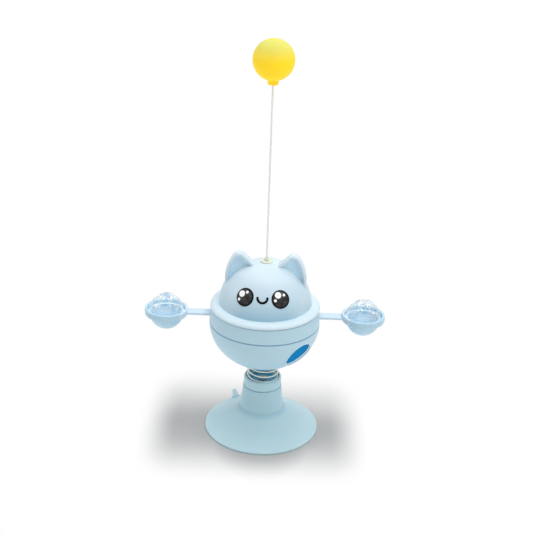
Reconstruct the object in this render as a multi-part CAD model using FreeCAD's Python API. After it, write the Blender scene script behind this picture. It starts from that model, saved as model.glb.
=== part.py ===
import FreeCAD
import Part
import math
import os

from FreeCAD import Rotation
from FreeCAD import Vector

# A rotating cat toy. A suction cup holds a coil spring, the spring carries a round treat bowl,
# a ring with two arms turns between the bowl and a cat's head, and a rod on the head holds a ball.
# Millimetres. The origin is the centre of the suction rim on the floor, +Z is up, the arms lie
# along X, and the face looks along -Y.

# Clearances
TURN_GAP = 0.25          # between faces that turn or slide on each other
REST_GAP = 0.1           # between a loose piece and the face it stands on
FIT = 0.05               # round a pin, stem or disc pressed into its seat
SPRING_PLAY = 0.4        # beside the coil, in its two sockets

# Suction cup
RIM_RADIUS = 40.0
RIM_THICKNESS = 2.3
SEAL_WIDTH = 4.4         # flat ring of the rim that meets the floor
HOLLOW_DEPTH = 8.5       # height of the hollow under the skirt
SKIRT_HEIGHT = 16.6      # floor to the crease where the neck begins
NECK_FOOT_RADIUS = 15.0
NECK_TOP_RADIUS = 13.6
NECK_LENGTH = 17.2
SKIRT_SAG = 0.9          # how far the skirt's upper side curves below a straight cone
CREASE_RUN = 1.0         # fillet between the skirt and the neck
CREASE_RISE = 1.8

# Release tab at the rear of the rim
TAB_HEIGHT = 7.5
TAB_FOOT_WIDTH = 6.6
TAB_TIP_RADIUS = 1.5
TAB_THICKNESS = 1.8
TAB_BEARING = 30.5       # degrees from the rear towards the left
TAB_LEAN = 31.0          # degrees outwards from upright

# Spring collar, with a barbed stem in the neck
COLLAR_RADIUS = 13.1
COLLAR_HEIGHT = 7.4
COLLAR_FLOOR = 2.6
COLLAR_GROOVE = 0.6      # rounding of both edges at the seam between neck and collar
STEM_RADIUS = 6.0
STEM_LENGTH = 16.0
BARB_STEP = 1.0

# Coil spring
SPRING_DIAMETER = 22.0
SPRING_WIRE = 1.0
SPRING_TURNS = 5.75
SPRING_LENGTH = 18.4     # between the two seats
END_TURNS = 0.9          # closed turns at each end
END_PITCH = 1.45
EASE_TURNS = 0.4         # from the closed pitch to the open one
SPRING_START = 148.0     # bearing of the lower wire end, degrees from +X
SPRING_HAND = -1         # left-hand wound

# Dished plug inside the lower coil, and its screw
PLUG_HEIGHT = 3.4
PLUG_FLOOR = 1.2
PLUG_RIM = 1.6
SCREW_RADIUS = 1.5
SCREW_HEAD_RADIUS = 2.8
SCREW_HEAD_HEIGHT = 1.6
SCREW_LENGTH = 9.0
CROSS_WIDTH = 0.8
CROSS_DEPTH = 0.9

# Treat bowl: the outside is half an ellipsoid
SPRING_SHOWING = 9.5     # from the collar's top to the ellipsoid's lowest point
BOWL_RADIUS = 38.0
BOWL_DEPTH = 33.0
BOWL_WALL = 1.3
EDGE_ROUND = 0.35        # rounding of the edges at the two parting lines
FOOT_HOLE_RADIUS = 12.75
FLANGE_RADIUS = 16.8     # flange of the spring cap on the bowl's floor
FLANGE_THICKNESS = 1.8
CAP_ROOF = 3.0
CAP_WALL = 1.15
CAP_BOSS_LENGTH = 3.7
CAP_SCREW_CIRCLE = 14.75
CAP_SCREW_RADIUS = 0.9
CAP_SCREW_HEAD_RADIUS = 1.7
CAP_SCREW_HEAD_HEIGHT = 1.1
CAP_SCREW_LENGTH = 3.4
CAP_SCREWS = 3

# Treat port and the shutter behind it
PORT_RADIUS = 10.6
PORT_BEARING = -45.0     # degrees from +X
PORT_DROP = 14.0         # below the bowl's rim, measured on the outside
SHUTTER_WALL = 1.2
SHUTTER_TOP_DROP = 2.5
SHUTTER_FOOT_GAP = 0.9   # over the flange of the spring cap
SHUTTER_TURN = 80.0      # degrees from shut to open
STOP_WIDTH = 4.0         # tongue on the neck that limits the shutter's turn
STOP_DEPTH = 2.2
STOP_REACH = 0.8         # the tongue's inner face, inside the shutter's wall
STOP_BEARING = 110.0
GRIP_DEPTH = 4.0
GRIP_HEIGHT = 6.0
GRIP_THICKNESS = 2.0

# Neck that the turntable turns on, seated in the bowl's mouth
MOUTH_REBATE = 0.4
SEAT_HEIGHT = 2.0
NECK_STEP = 2.7          # from the bowl's outside in to the neck's
NECK_WALL = 1.6

# Turntable ring
RING_HEIGHT = 10.4
RING_TAPER = 0.9         # the top is narrower than the foot by this on every side

# Arms
ARM_WIDTH = 7.6
ARM_THICKNESS = 1.4
ARM_TOP = 5.5            # from the bowl's rim up to the arm's upper face
BARB_WIDTH = 0.8         # each side of the arm, behind the ring's wall
BARB_LENGTH = 1.0
CUP_REACH = 67.7         # axis to the middle of a cup
RIM_HEIGHT_OVER_ARM = 2.1

# Cup holder at the end of an arm
HOLDER_RADIUS = 14.8
HOLDER_HEIGHT = 5.5
HOLDER_BAND = 3.7        # upright part of the holder's outside, under the lip
HOLDER_WALL = 0.6        # round the cup, at the holder's foot
LIP_WIDTH = 1.85
LIP_ROUND = 0.9
SHELF_DEPTH = 3.6        # from the lip's top down to the shelf
CUP_DROP = 3.8           # from the lip's top down to the middle of the cup's ball shape

# Cup and its clear dome
CUP_RADIUS = 11.6
CUP_WALL = 1.1
CUP_FLANGE = 1.0
DOME_RADIUS = 11.65
DOME_WALL = 0.9
DOME_RISE = 0.8          # straight part under the dome's half ball
DOME_BEAD = 0.45
PLUG_SKIRT = 2.3
VENTS = 6
VENT_RADIUS = 3.0
VENT_RISE = 47.0         # degrees above the level of the half ball's middle

# Head
HEAD_RADIUS = 31.6
HEAD_HEIGHT = 31.0       # the dome is a little flatter than half a ball
HEAD_WALL = 1.7
HEAD_RISE = 2.8          # from the ring to the middle of the ball shape
HEAD_TURN = -4.0         # degrees, the way the head sits on the neck
LEDGE_STEP = 0.4         # from the bowl's outside in to the ledge's widest ring
LEDGE_HEIGHT = 3.7
LEDGE_BRINK = 0.8        # height of the widest ring over the ledge's foot
LEDGE_UNDERCUT = 0.4     # the foot is narrower than the widest ring by this
LEDGE_FLAT = 0.8         # level part of the ledge next to the dome
LEDGE_CREASE = 0.35      # fillet between the ledge and the dome
SKIRT_DEPTH = 8.0
SKIRT_WALL = 1.5

# Ears, drawn on the upright plane that faces front
EAR_FRONT = 5.8          # the raised rim, in front of the head's axis
EAR_REAR = 0.9           # behind the head's axis
EAR_RECESS = 2.4
EAR_RIM = 2.2
EAR_FRONT_ROUND = 1.2
EAR_REAR_ROUND = 1.6
EAR_RECESS_ROUND = 0.9   # where the rim turns into the recess
EAR_FLOOR_ROUND = 2.6    # where the recess meets its floor
EAR_TIP_X = 18.8
EAR_TIP_RISE = 6.9       # above the crown of the head
EAR_OUTER_X = 27.5
EAR_OUTER_DROP = 12.9    # below the crown, as the other drops of the feet
EAR_INNER_X = 5.5
EAR_INNER_DROP = 3.2
EAR_FOOT_DROP = 20.4
EAR_FOOT_IN = 0.6        # from the outer side
EAR_SHOULDER_IN = 4.4    # start of the round tip, inwards and down from it
EAR_SHOULDER_DROP = 2.0
EAR_BROW_OUT = 3.9       # end of the round tip, outwards and down from it
EAR_BROW_DROP = 2.6
EAR_CHEEK_IN = 1.2       # middle of the outer curve, from the outer side and down from the tip
EAR_CHEEK_DROP = 10.2

# Face: thin glossy discs set flush into the dome
EYE_RADIUS = 6.2
EYE_BEARING = 25.5       # each side of the middle of the face
EYE_RISE = 28.5          # degrees above the level of the ball shape's middle
FACE_SINK = 0.6
FACE_PROUD = 0.2
MOUTH_RISE = 30.6
MOUTH_RADIUS = 3.3
MOUTH_STROKE = 1.2

# Grommet on the crown, rod and ball
GROMMET_RADIUS = 4.2
GROMMET_RIM = 0.8
GROMMET_DISH_RADIUS = 2.3
GROMMET_STEM_RADIUS = 2.6
GROMMET_LIP_RADIUS = 3.2
GROMMET_FOOT = 2.1       # from the rod's pivot down
LOBES = 7
LOBE_DEPTH = 0.3
INSERT_RADIUS = 1.7
FERRULE_RADIUS = 1.2
FERRULE_HEIGHT = 2.6
FERRULE_WALL = 0.25
FERRULE_GAP = 0.65       # over the crown
ROD_RADIUS = 0.6
ROD_BEND = 15.0          # degrees each way, for each of the two ways
ROD_STOP_RADIUS = 1.9
ROD_STOP_DROP = 4.6      # from the pivot down
BALL_RADIUS = 13.4
BALL_WALL = 1.4
BALL_RISE = 137.2        # from the crown of the head to the middle of the ball
SLEEVE_RADIUS = 3.7
SLEEVE_LENGTH = 3.3
SLEEVE_STEM_RADIUS = 2.9
SLEEVE_STEM_LENGTH = 5.0

# Heights that follow from the sizes above
NECK_TOP_Z = SKIRT_HEIGHT + NECK_LENGTH
COLLAR_TOP_Z = NECK_TOP_Z + COLLAR_HEIGHT
SPRING_SEAT_Z = NECK_TOP_Z + COLLAR_FLOOR
SPRING_TOP_Z = SPRING_SEAT_Z + SPRING_LENGTH
BOWL_POLE_Z = COLLAR_TOP_Z + SPRING_SHOWING
BOWL_RIM_Z = BOWL_POLE_Z + BOWL_DEPTH
RING_FOOT_Z = BOWL_RIM_Z + TURN_GAP
RING_TOP_Z = RING_FOOT_Z + RING_HEIGHT
HEAD_FOOT_Z = RING_TOP_Z + TURN_GAP
HEAD_MIDDLE_Z = HEAD_FOOT_Z + HEAD_RISE
CROWN_Z = HEAD_MIDDLE_Z + HEAD_HEIGHT
BALL_MIDDLE_Z = CROWN_Z + BALL_RISE
ARM_TOP_Z = BOWL_RIM_Z + ARM_TOP
LIP_Z = ARM_TOP_Z + RIM_HEIGHT_OVER_ARM
SHELF_Z = LIP_Z - SHELF_DEPTH
CUP_MIDDLE_Z = LIP_Z - CUP_DROP

UP = Vector(0, 0, 1)
ORIGIN = Vector(0, 0, 0)


class Section:
    """One half of a turned piece, drawn from point to point in the XZ plane."""

    def __init__(self, x, z):
        self.start = Vector(x, 0, z)
        self.at = self.start
        self.edges = []

    def line(self, x, z):
        end = Vector(x, 0, z)
        self.edges.append(Part.LineSegment(self.at, end).toShape())
        self.at = end
        return self

    def arc(self, x_mid, z_mid, x, z):
        end = Vector(x, 0, z)
        self.edges.append(Part.Arc(self.at, Vector(x_mid, 0, z_mid), end).toShape())
        self.at = end
        return self

    def round(self, x, z, out_x, out_z):
        """Quarter-like arc to (x, z) that bulges towards (out_x, out_z)."""
        half = (self.at + Vector(x, 0, z)) * 0.5
        mid = half + (Vector(out_x, 0, out_z) - half) * 0.41
        return self.arc(mid.x, mid.z, x, z)

    def oval(self, radius, depth, middle, x, z, across=0.0):
        """Part of an ellipse whose middle is across from the axis; it may be a circle."""
        first = math.atan2((self.at.z - middle) / depth, (self.at.x - across) / radius)
        last = math.atan2((z - middle) / depth, (x - across) / radius)
        if radius > depth:
            centre = Vector(across, 0, middle)
            side = Vector(across + radius, 0, middle)
            curve = Part.Ellipse(side, Vector(across, 0, middle + depth), centre)
            edge = curve.toShape(min(first, last), max(first, last))
        else:
            half = 0.5 * (first + last)
            mid = Vector(across + radius * math.cos(half), 0, middle + depth * math.sin(half))
            edge = Part.Arc(self.at, mid, Vector(x, 0, z)).toShape()
        self.edges.append(edge)
        self.at = Vector(x, 0, z)
        return self

    def turned(self):
        if (self.at - self.start).Length > 1e-7:
            self.line(self.start.x, self.start.z)
        wire = Part.Wire(Part.__sortEdges__(self.edges))
        return Part.Face(wire).revolve(ORIGIN, UP, 360)


def rod(radius, low, high, x=0.0, y=0.0):
    return Part.makeCylinder(radius, high - low, Vector(x, y, low))


def oval_z(radius, depth, middle, x):
    """Height of the lower half of an ellipse at x."""
    return middle - depth * math.sqrt(1 - (x / radius) ** 2)


def oval_x(radius, depth, middle, z):
    return radius * math.sqrt(1 - ((z - middle) / depth) ** 2)


def around(shape, degrees, middle=ORIGIN):
    turned = shape.copy()
    turned.rotate(middle, UP, degrees)
    return turned


def cross_recess(z, radius, x=0.0, y=0.0):
    """Cross-shaped driver slot in a screw head, open at height z."""
    bars = []
    for length, width in ((radius, CROSS_WIDTH), (CROSS_WIDTH, radius)):
        corner = Vector(x - length / 2, y - width / 2, z - CROSS_DEPTH)
        bars.append(Part.makeBox(length, width, 2 * CROSS_DEPTH, corner))
    return bars[0].fuse(bars[1])


def screw(radius, length, head_radius, head_height, z, x=0.0, y=0.0):
    """Round-headed screw whose head stands on height z."""
    head = Section(0, 0).line(head_radius, 0).line(head_radius, head_height / 2)
    head.round(head_radius - head_height / 2, head_height, head_radius, head_height).line(0, head_height)
    body = head.turned()
    shank = Section(0, -length).line(radius / 2, -length).line(radius, -length + radius)
    shank.line(radius, 0).line(0, 0)
    whole = body.fuse(shank.turned()).removeSplitter()
    whole.translate(Vector(x, y, z))
    return whole.cut(cross_recess(z + head_height, head_radius, x, y))


# Suction cup, one soft moulding with its release tab

STEM_FOOT_Z = NECK_TOP_Z - STEM_LENGTH


def stem_section(clearance):
    """Barbed stem, from its foot up to the neck's top."""
    foot = STEM_RADIUS - BARB_STEP
    barb = STEM_RADIUS + BARB_STEP
    section = Section(0, STEM_FOOT_Z - clearance)
    section.line(foot + clearance, STEM_FOOT_Z - clearance)
    section.line(barb + clearance, STEM_FOOT_Z + 3 * BARB_STEP)
    section.line(barb + clearance, STEM_FOOT_Z + 4 * BARB_STEP + clearance)
    section.line(STEM_RADIUS + clearance, STEM_FOOT_Z + 4 * BARB_STEP + clearance)
    return section


def release_tab():
    half = TAB_FOOT_WIDTH / 2
    tip = TAB_HEIGHT - TAB_TIP_RADIUS
    left = Vector(-TAB_TIP_RADIUS, 0, tip)
    right = Vector(TAB_TIP_RADIUS, 0, tip)
    outline = [
        Part.LineSegment(Vector(-half, 0, 0), left).toShape(),
        Part.Arc(left, Vector(0, 0, TAB_HEIGHT), right).toShape(),
        Part.LineSegment(right, Vector(half, 0, 0)).toShape(),
        Part.LineSegment(Vector(half, 0, 0), Vector(-half, 0, 0)).toShape(),
    ]
    tab = Part.Face(Part.Wire(outline)).extrude(Vector(0, TAB_THICKNESS, 0))
    tab.translate(Vector(0, -TAB_THICKNESS / 2, 0))
    tab.rotate(ORIGIN, Vector(1, 0, 0), -TAB_LEAN)
    tab.translate(Vector(0, RIM_RADIUS - 1.2 * TAB_THICKNESS, RIM_THICKNESS / 2))
    return around(tab, TAB_BEARING)


def suction_cup():
    seal = RIM_RADIUS - SEAL_WIDTH - RIM_THICKNESS / 2
    edge = RIM_THICKNESS / 2
    crease = NECK_FOOT_RADIUS + CREASE_RUN
    crease_z = SKIRT_HEIGHT - 0.6 * CREASE_RISE
    neck_z = crease_z + CREASE_RISE
    taper = (NECK_FOOT_RADIUS - NECK_TOP_RADIUS) / NECK_LENGTH
    neck = NECK_FOOT_RADIUS - taper * (neck_z - SKIRT_HEIGHT)
    half = (RIM_RADIUS - edge + crease) / 2
    body = Section(0, HOLLOW_DEPTH)
    body.arc(seal * 0.55, HOLLOW_DEPTH * 0.72, seal, 0)
    body.line(RIM_RADIUS - edge, 0)
    body.round(RIM_RADIUS, edge, RIM_RADIUS, 0)
    body.round(RIM_RADIUS - edge, RIM_THICKNESS, RIM_RADIUS, RIM_THICKNESS)
    body.arc(half, (RIM_THICKNESS + crease_z) / 2 - SKIRT_SAG, crease, crease_z)
    body.round(neck, neck_z, NECK_FOOT_RADIUS, SKIRT_HEIGHT - 0.2 * CREASE_RISE)
    body.line(NECK_TOP_RADIUS, NECK_TOP_Z - COLLAR_GROOVE)
    body.round(NECK_TOP_RADIUS - COLLAR_GROOVE, NECK_TOP_Z, NECK_TOP_RADIUS, NECK_TOP_Z)
    body.line(0, NECK_TOP_Z)
    bore = stem_section(FIT).line(STEM_RADIUS + FIT, NECK_TOP_Z + 1).line(0, NECK_TOP_Z + 1)
    return body.turned().fuse(release_tab()).cut(bore.turned())


# Spring collar, plug and screw, rigid mouldings and steel

SPRING_MEAN = (SPRING_DIAMETER - SPRING_WIRE) / 2
SOCKET_RADIUS = SPRING_DIAMETER / 2 + SPRING_PLAY
CORE_RADIUS = SPRING_DIAMETER / 2 - SPRING_WIRE - SPRING_PLAY
PLUG_TOP_Z = SPRING_SEAT_Z + PLUG_HEIGHT
PLUG_FLOOR_Z = SPRING_SEAT_Z + PLUG_FLOOR


def neck_collar():
    shoulder = COLLAR_RADIUS - SOCKET_RADIUS
    collar = stem_section(0).line(STEM_RADIUS, NECK_TOP_Z)
    collar.line(COLLAR_RADIUS - COLLAR_GROOVE, NECK_TOP_Z)
    collar.round(COLLAR_RADIUS, NECK_TOP_Z + COLLAR_GROOVE, COLLAR_RADIUS, NECK_TOP_Z)
    collar.line(COLLAR_RADIUS, COLLAR_TOP_Z - shoulder)
    collar.round(SOCKET_RADIUS + shoulder / 4, COLLAR_TOP_Z, COLLAR_RADIUS, COLLAR_TOP_Z)
    collar.line(SOCKET_RADIUS, COLLAR_TOP_Z - shoulder / 4)
    collar.line(SOCKET_RADIUS, SPRING_SEAT_Z)
    collar.line(0, SPRING_SEAT_Z)
    pilot = rod(SCREW_RADIUS + FIT, PLUG_FLOOR_Z - SCREW_LENGTH - FIT, SPRING_SEAT_Z + 1)
    return collar.turned().cut(pilot)


def spring_plug():
    """Dished disc that keeps the lower coil in its socket."""
    rim = CORE_RADIUS
    dish = rim - PLUG_RIM
    plug = Section(SCREW_RADIUS + FIT, SPRING_SEAT_Z).line(rim, SPRING_SEAT_Z)
    plug.line(rim, PLUG_TOP_Z - EDGE_ROUND).line(rim - EDGE_ROUND, PLUG_TOP_Z)
    plug.line(dish + EDGE_ROUND, PLUG_TOP_Z)
    plug.line(dish, PLUG_TOP_Z - EDGE_ROUND)
    plug.line(dish, PLUG_FLOOR_Z).line(SCREW_RADIUS + FIT, PLUG_FLOOR_Z)
    return plug.turned()


def plug_screw():
    return screw(SCREW_RADIUS, SCREW_LENGTH, SCREW_HEAD_RADIUS, SCREW_HEAD_HEIGHT, PLUG_FLOOR_Z)


# Coil spring, one wire: closed turns at both ends and open turns between

COIL_FOOT = SPRING_SEAT_Z + REST_GAP + SPRING_WIRE / 2
COIL_RISE = SPRING_LENGTH - 2 * REST_GAP - SPRING_WIRE
OPEN_TURNS = SPRING_TURNS - 2 * END_TURNS - EASE_TURNS
OPEN_PITCH = END_PITCH + (COIL_RISE - END_PITCH * SPRING_TURNS) / OPEN_TURNS
ARCS_PER_TURN = 4


def rise_from_end(turns):
    extra = OPEN_PITCH - END_PITCH
    eased = min(max(turns - END_TURNS, 0), EASE_TURNS)
    opened = max(turns - END_TURNS - EASE_TURNS, 0)
    return END_PITCH * turns + extra * (eased ** 2 / (2 * EASE_TURNS) + opened)


def coil_height(turns):
    if turns <= SPRING_TURNS / 2:
        return COIL_FOOT + rise_from_end(turns)
    return COIL_FOOT + COIL_RISE - rise_from_end(SPRING_TURNS - turns)


def coil_point(turns):
    angle = math.radians(SPRING_START) + SPRING_HAND * 2 * math.pi * turns
    return Vector(SPRING_MEAN * math.cos(angle), SPRING_MEAN * math.sin(angle), coil_height(turns))


def coil_direction(turns):
    step = 1e-4
    return (coil_point(turns + step) - coil_point(turns - step)).normalize()


def arc_by_corner(start, corner, end):
    """Arc from start to end whose tangents meet at a corner equally far from both."""
    lean = (start - end).Length / 2 / (start - corner).Length
    mid = (start + corner * (2 * lean) + end) * (1 / (2 + 2 * lean))
    return Part.Arc(start, mid, end).toShape()


def biarc(start, start_way, end, end_way):
    """Two arcs that meet smoothly and follow the given directions at both ends."""
    gap = end - start
    ways = start_way + end_way
    a = 2 * (1 - start_way.dot(end_way))
    b = 2 * gap.dot(ways)
    reach = (-b + math.sqrt(b * b + 4 * a * gap.dot(gap))) / (2 * a)
    first = start + start_way * reach
    last = end - end_way * reach
    joint = (first + last) * 0.5
    return [arc_by_corner(start, first, joint), arc_by_corner(joint, last, end)]


def least_coil_gap():
    """Smallest clear distance between neighbouring turns, on points."""
    steps = 60
    points = [coil_point(n / steps) for n in range(int(SPRING_TURNS * steps) + 1)]
    gap = SPRING_DIAMETER
    for n, point in enumerate(points):
        for other in points[n + steps // 2:]:
            gap = min(gap, (point - other).Length)
    return gap - SPRING_WIRE


def base_spring():
    quarters = round(SPRING_TURNS * ARCS_PER_TURN)
    edges = []
    for n in range(quarters):
        low = SPRING_TURNS * n / quarters
        high = SPRING_TURNS * (n + 1) / quarters
        edges += biarc(coil_point(low), coil_direction(low), coil_point(high), coil_direction(high))
    path = Part.Wire(edges)
    ring = Part.Wire(Part.makeCircle(SPRING_WIRE / 2, coil_point(0), coil_direction(0)))
    wire = path.makePipeShell([ring], True, False)
    ideal = math.pi * (SPRING_WIRE / 2) ** 2 * path.Length
    print("spring pitch", round(OPEN_PITCH, 3), "least gap", round(least_coil_gap(), 3))
    print("spring volume over section times length", round(wire.Volume / ideal, 5))
    return wire


# Spring cap, which joins the spring's upper end to the bowl

BOWL_INNER_RADIUS = BOWL_RADIUS - BOWL_WALL
BOWL_INNER_DEPTH = BOWL_DEPTH - BOWL_WALL
FLOOR_RADIUS = FLANGE_RADIUS + 0.5
FLOOR_Z = oval_z(BOWL_INNER_RADIUS, BOWL_INNER_DEPTH, BOWL_RIM_Z, FLOOR_RADIUS)
BOSS_RADIUS = SOCKET_RADIUS + CAP_WALL
FOOT_EDGE_Z = oval_z(BOWL_RADIUS, BOWL_DEPTH, BOWL_RIM_Z, FOOT_HOLE_RADIUS)


def cap_screw_places():
    step = 360 / CAP_SCREWS
    for n in range(CAP_SCREWS):
        angle = math.radians(90 + n * step)
        yield CAP_SCREW_CIRCLE * math.cos(angle), CAP_SCREW_CIRCLE * math.sin(angle)


def spring_cap():
    boss_foot = FLOOR_Z - CAP_BOSS_LENGTH
    cap = Section(0, SPRING_TOP_Z - PLUG_HEIGHT)
    cap.line(CORE_RADIUS - EDGE_ROUND, SPRING_TOP_Z - PLUG_HEIGHT)
    cap.line(CORE_RADIUS, SPRING_TOP_Z - PLUG_HEIGHT + EDGE_ROUND)
    cap.line(CORE_RADIUS, SPRING_TOP_Z)
    cap.line(SOCKET_RADIUS, SPRING_TOP_Z)
    cap.line(SOCKET_RADIUS, boss_foot)
    cap.line(BOSS_RADIUS, boss_foot)
    cap.line(BOSS_RADIUS, FLOOR_Z)
    cap.line(FLANGE_RADIUS, FLOOR_Z)
    cap.line(FLANGE_RADIUS, FLOOR_Z + FLANGE_THICKNESS)
    cap.line(SOCKET_RADIUS, FLOOR_Z + FLANGE_THICKNESS)
    cap.line(SOCKET_RADIUS - CAP_ROOF / 2, SPRING_TOP_Z + CAP_ROOF)
    cap.line(0, SPRING_TOP_Z + CAP_ROOF)
    body = cap.turned()
    for x, y in cap_screw_places():
        body = body.cut(rod(CAP_SCREW_RADIUS + FIT, FLOOR_Z - 1, FLOOR_Z + FLANGE_THICKNESS + 1, x, y))
    return body


def cap_screws():
    top = FLOOR_Z + FLANGE_THICKNESS
    sizes = (CAP_SCREW_RADIUS, CAP_SCREW_LENGTH, CAP_SCREW_HEAD_RADIUS, CAP_SCREW_HEAD_HEIGHT)
    return Part.Compound([screw(*sizes, top, x, y) for x, y in cap_screw_places()])


# Treat bowl with its port

PORT_Z = BOWL_RIM_Z - PORT_DROP
PORT_X = oval_x(BOWL_RADIUS, BOWL_DEPTH, BOWL_RIM_Z, PORT_Z)


def port_cutter(radius, bearing):
    """Cylinder along the outward normal of the bowl at the port."""
    normal = Vector(PORT_X / BOWL_RADIUS ** 2, 0, -PORT_DROP / BOWL_DEPTH ** 2).normalize()
    depth = 4 * (BOWL_WALL + SHUTTER_WALL)
    middle = Vector(PORT_X, 0, PORT_Z)
    cutter = Part.makeCylinder(radius, 2 * depth, middle - normal * depth, normal)
    return around(cutter, bearing)


def treat_bowl():
    inner_seat = BOWL_RIM_Z - SEAT_HEIGHT
    ledge = oval_x(BOWL_INNER_RADIUS, BOWL_INNER_DEPTH, BOWL_RIM_Z, inner_seat)
    mouth = BOWL_INNER_RADIUS + MOUTH_REBATE
    bowl = Section(FOOT_HOLE_RADIUS, FOOT_EDGE_Z)
    edge_z = BOWL_RIM_Z - EDGE_ROUND
    edge = oval_x(BOWL_RADIUS, BOWL_DEPTH, BOWL_RIM_Z, edge_z)
    bowl.oval(BOWL_RADIUS, BOWL_DEPTH, BOWL_RIM_Z, edge, edge_z)
    bowl.round(BOWL_RADIUS - EDGE_ROUND, BOWL_RIM_Z, BOWL_RADIUS, BOWL_RIM_Z)
    bowl.line(mouth, BOWL_RIM_Z)
    bowl.line(mouth, inner_seat)
    bowl.line(ledge, inner_seat)
    bowl.oval(BOWL_INNER_RADIUS, BOWL_INNER_DEPTH, BOWL_RIM_Z, FLOOR_RADIUS, FLOOR_Z)
    bowl.line(FOOT_HOLE_RADIUS, FLOOR_Z)
    body = bowl.turned().cut(port_cutter(PORT_RADIUS, PORT_BEARING))
    low = FLOOR_Z + FLANGE_THICKNESS - CAP_SCREW_LENGTH - FIT
    for x, y in cap_screw_places():
        body = body.cut(rod(CAP_SCREW_RADIUS + FIT, low, FLOOR_Z + 1, x, y))
    return body


# Shutter: a loose inner shell that is turned by hand, with the head off, to open the port

STOP_FOOT_Z = BOWL_RIM_Z - SEAT_HEIGHT - STOP_DEPTH


def treat_shutter():
    out_radius = BOWL_INNER_RADIUS - TURN_GAP
    out_depth = BOWL_INNER_DEPTH - TURN_GAP
    in_radius = out_radius - SHUTTER_WALL
    in_depth = out_depth - SHUTTER_WALL
    low = FLOOR_Z + FLANGE_THICKNESS + SHUTTER_FOOT_GAP
    high = BOWL_RIM_Z - SHUTTER_TOP_DROP
    shell = Section(oval_x(out_radius, out_depth, BOWL_RIM_Z, low), low)
    shell.oval(out_radius, out_depth, BOWL_RIM_Z, oval_x(out_radius, out_depth, BOWL_RIM_Z, high), high)
    inner_high = oval_x(in_radius, in_depth, BOWL_RIM_Z, high)
    shell.line(inner_high, high)
    shell.oval(in_radius, in_depth, BOWL_RIM_Z, oval_x(in_radius, in_depth, BOWL_RIM_Z, low), low)
    body = shell.turned().cut(port_cutter(PORT_RADIUS, PORT_BEARING + SHUTTER_TURN))
    corner = Vector(inner_high - GRIP_DEPTH, -GRIP_THICKNESS / 2, high - GRIP_HEIGHT)
    grip = Part.makeBox(BOWL_RADIUS, GRIP_THICKNESS, GRIP_HEIGHT, corner)
    grip = grip.common(wall_middle(out_radius - SHUTTER_WALL / 2, out_depth - SHUTTER_WALL / 2, low, high))
    for bearing in (90, 270):
        body = body.fuse(around(grip, bearing))
    return body.cut(stop_notch(in_radius - STOP_REACH, high))


def wall_middle(radius, depth, low, high):
    """Solid out to the middle of the shutter's wall."""
    body = Section(0, low).line(oval_x(radius, depth, BOWL_RIM_Z, low), low)
    body.oval(radius, depth, BOWL_RIM_Z, oval_x(radius, depth, BOWL_RIM_Z, high), high)
    return body.line(0, high).turned()


def stop_notch(near, high):
    """Sector cut from the shutter's top edge, as long as its turn."""
    half = math.degrees(math.asin((STOP_WIDTH / 2 + TURN_GAP) / near))
    foot = STOP_FOOT_Z - TURN_GAP
    angle = SHUTTER_TURN + 2 * half
    sector = Part.makeCylinder(BOWL_RADIUS, high + 1 - foot, Vector(0, 0, foot), UP, angle)
    return around(sector, STOP_BEARING - half)


def stop_tongue():
    """Tongue under the neck that stands in the shutter's notch."""
    near = BOWL_INNER_RADIUS - TURN_GAP - SHUTTER_WALL - STOP_REACH
    far = near + STOP_REACH + SHUTTER_WALL / 2
    height = STOP_DEPTH + SEAT_HEIGHT / 2
    block = Part.makeBox(far - near, STOP_WIDTH, height, Vector(near, -STOP_WIDTH / 2, STOP_FOOT_Z))
    return around(block.common(rod(far, 0, BOWL_RIM_Z)), STOP_BEARING)


# Neck: the ring seated in the bowl's mouth, which the turntable turns on

NECK_RADIUS = BOWL_RADIUS - NECK_STEP


def bearing_neck():
    mouth = BOWL_INNER_RADIUS + MOUTH_REBATE - FIT
    inside = NECK_RADIUS - NECK_WALL
    top = HEAD_FOOT_Z - REST_GAP
    neck = Section(inside, BOWL_RIM_Z - SEAT_HEIGHT)
    neck.line(mouth, BOWL_RIM_Z - SEAT_HEIGHT)
    neck.line(mouth, BOWL_RIM_Z)
    neck.line(NECK_RADIUS, BOWL_RIM_Z)
    neck.line(NECK_RADIUS, top - EDGE_ROUND)
    neck.line(NECK_RADIUS - EDGE_ROUND, top)
    neck.line(inside, top)
    return neck.turned().fuse(stop_tongue())


# Turntable ring with a slot for each arm

RING_BORE = NECK_RADIUS + TURN_GAP
RING_TOP_RADIUS = BOWL_RADIUS - RING_TAPER
ARM_FOOT_Z = ARM_TOP_Z - ARM_THICKNESS


def slot(width, height_gap, near, far, side):
    low = ARM_FOOT_Z - height_gap
    box = Part.makeBox(far - near, width, ARM_THICKNESS + 2 * height_gap, Vector(near, -width / 2, low))
    return around(box, 0 if side > 0 else 180)


def turntable_ring():
    ring = Section(RING_BORE, RING_FOOT_Z)
    ring.line(BOWL_RADIUS - EDGE_ROUND, RING_FOOT_Z)
    ring.round(BOWL_RADIUS, RING_FOOT_Z + EDGE_ROUND, BOWL_RADIUS, RING_FOOT_Z)
    ring.line(RING_TOP_RADIUS, RING_TOP_Z - EDGE_ROUND)
    ring.round(RING_TOP_RADIUS - EDGE_ROUND, RING_TOP_Z, RING_TOP_RADIUS, RING_TOP_Z)
    ring.line(RING_BORE, RING_TOP_Z)
    body = ring.turned()
    pocket = RING_BORE + BARB_LENGTH + FIT
    for side in (-1, 1):
        body = body.cut(slot(ARM_WIDTH + 2 * FIT, FIT, RING_BORE - 1, BOWL_RADIUS + 1, side))
        body = body.cut(slot(ARM_WIDTH + 2 * BARB_WIDTH + 2 * FIT, FIT, RING_BORE - 1, pocket, side))
    return body


# Arms: a flat strap with a snap-in barb at one end and a round cup holder at the other

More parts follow.
